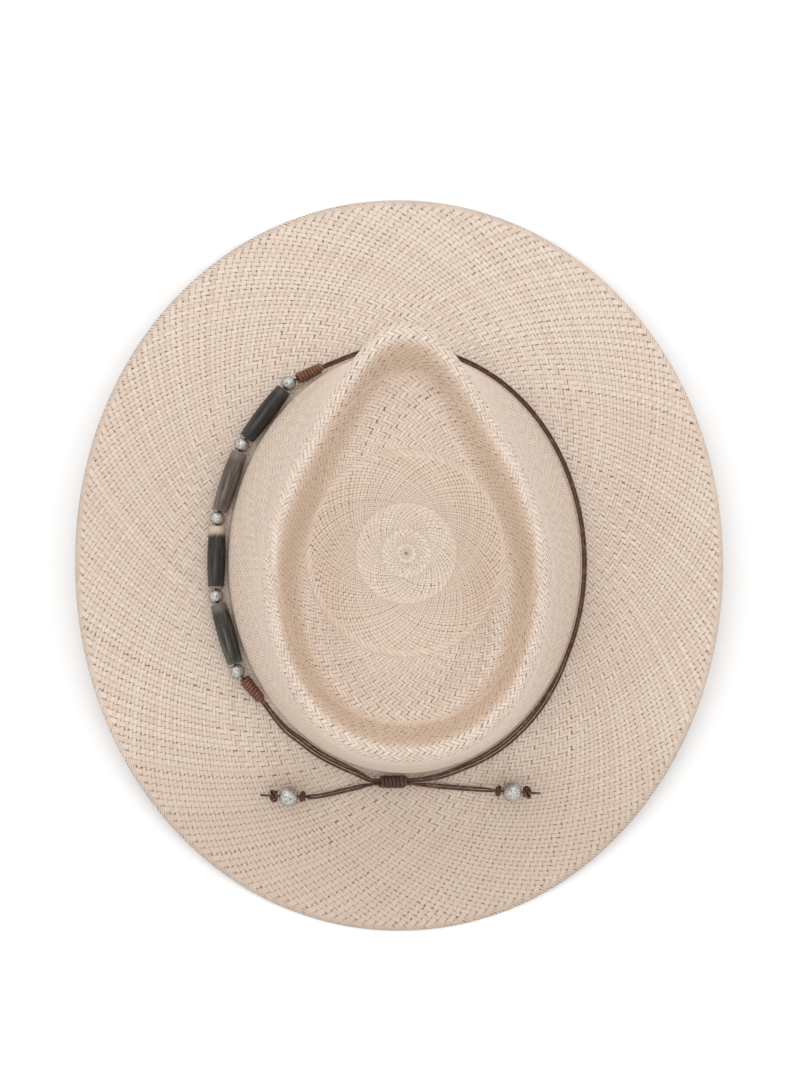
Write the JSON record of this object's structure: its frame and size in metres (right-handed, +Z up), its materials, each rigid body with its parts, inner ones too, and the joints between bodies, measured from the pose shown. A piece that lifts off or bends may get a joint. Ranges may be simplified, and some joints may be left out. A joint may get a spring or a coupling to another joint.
{
  "type": "panama hat",
  "caption": "Woven straw hat with a teardrop crown and wide curled brim, a leather sweatband, and a cord band strung with horn and metal beads and tied by a sliding knot.",
  "frame": {"origin": "middle of the hat's footprint, on the plane it stands on", "axes": "+Z up, +Y towards the back of the hat, +X towards the wearer's left, where the beads are"},
  "size_m": [0.3189, 0.3664, 0.1187],
  "materials": {
    "straw": "natural palm straw in a fine twill weave, matt with a faint sheen",
    "sweatband_leather": "smooth brown leather",
    "reed": "cloth-covered reed",
    "thread": "cotton thread",
    "ribbon": "narrow ribbed ribbon",
    "band_cord": "round waxed leather cord",
    "horn": "polished dark horn, streaked",
    "hammered_silver": "oxidised white metal with a stippled face"
  },
  "bodies": {
    "hat": {"straw_body": "straw", "sweatband": "sweatband_leather", "sweatband_reed": "reed", "sweatband_stitching": "thread", "sweatband_bow": "ribbon"},
    "hatband": {"front_strand_1": "band_cord", "front_strand_2": "band_cord", "front_strand_3": "band_cord", "rear_strand_1": "band_cord", "rear_strand_2": "band_cord", "rear_strand_3": "band_cord", "bead_strand_1": "band_cord", "bead_strand_2": "band_cord", "front_wrapping": "band_cord", "rear_wrapping": "band_cord", "left_tail_1": "band_cord", "left_tail_2": "band_cord", "left_tail_inner_knot": "band_cord", "left_tail_bead": "hammered_silver", "left_tail_end_knot": "band_cord", "right_tail_1": "band_cord", "right_tail_2": "band_cord", "right_tail_inner_knot": "band_cord", "right_tail_bead": "hammered_silver", "right_tail_end_knot": "band_cord"},
    "knot": {"sliding_knot": "band_cord"},
    "horn_pipe_1_body": {"horn_pipe_1": "horn"},
    "horn_pipe_2_body": {"horn_pipe_2": "horn"},
    "horn_pipe_3_body": {"horn_pipe_3": "horn"},
    "horn_pipe_4_body": {"horn_pipe_4": "horn"},
    "spacer_bead_1_body": {"spacer_bead_1": "hammered_silver"},
    "spacer_bead_2_body": {"spacer_bead_2": "hammered_silver"},
    "spacer_bead_3_body": {"spacer_bead_3": "hammered_silver"},
    "spacer_bead_4_body": {"spacer_bead_4": "hammered_silver"},
    "spacer_bead_5_body": {"spacer_bead_5": "hammered_silver"}
  },
  "joints": [
    {"name": "hatband_lift", "type": "slide", "parent": "hat", "child": "hatband", "axis": [0, 0, 1], "range_m": [0, 0.11]},
    {"name": "knot_slide", "type": "slide", "parent": "hatband", "child": "knot", "axis": [1, 0, 0], "range_m": [-0.0025, 0.0025]},
    {"name": "horn_pipe_1_turn", "type": "hinge", "parent": "hatband", "child": "horn_pipe_1_body", "pos_m": [0.06652, -0.07333, 0.01633], "axis": [0.6075, 0.7943, 0.0047], "continuous": true},
    {"name": "horn_pipe_2_turn", "type": "hinge", "parent": "hatband", "child": "horn_pipe_2_body", "pos_m": [0.08435, -0.03959, 0.0165], "axis": [0.3141, 0.9494, 0.0039], "continuous": true},
    {"name": "horn_pipe_3_turn", "type": "hinge", "parent": "hatband", "child": "horn_pipe_3_body", "pos_m": [0.0908, -0.00187, 0.01658], "axis": [0.019, 0.9998, 0.0003], "continuous": true},
    {"name": "horn_pipe_4_turn", "type": "hinge", "parent": "hatband", "child": "horn_pipe_4_body", "pos_m": [0.08583, 0.03608, 0.01651], "axis": [-0.2759, 0.9612, -0.0036], "continuous": true},
    {"name": "spacer_bead_1_turn", "type": "hinge", "parent": "hatband", "child": "spacer_bead_1_body", "pos_m": [0.05477, -0.0887, 0.01624], "axis": [0.772, 0.6345, 0.0368], "continuous": true},
    {"name": "spacer_bead_2_turn", "type": "hinge", "parent": "hatband", "child": "spacer_bead_2_body", "pos_m": [0.07828, -0.05796, 0.01642], "axis": [0.4673, 0.8841, 0.0044], "continuous": true},
    {"name": "spacer_bead_3_turn", "type": "hinge", "parent": "hatband", "child": "spacer_bead_3_body", "pos_m": [0.09043, -0.02122, 0.01657], "axis": [0.1685, 0.9857, 0.0021], "continuous": true},
    {"name": "spacer_bead_4_turn", "type": "hinge", "parent": "hatband", "child": "spacer_bead_4_body", "pos_m": [0.09117, 0.01748, 0.01658], "axis": [-0.1299, 0.9915, -0.0017], "continuous": true},
    {"name": "spacer_bead_5_turn", "type": "hinge", "parent": "hatband", "child": "spacer_bead_5_body", "pos_m": [0.08049, 0.05468, 0.01645], "axis": [-0.4675, 0.8829, -0.0438], "continuous": true}
  ]
}
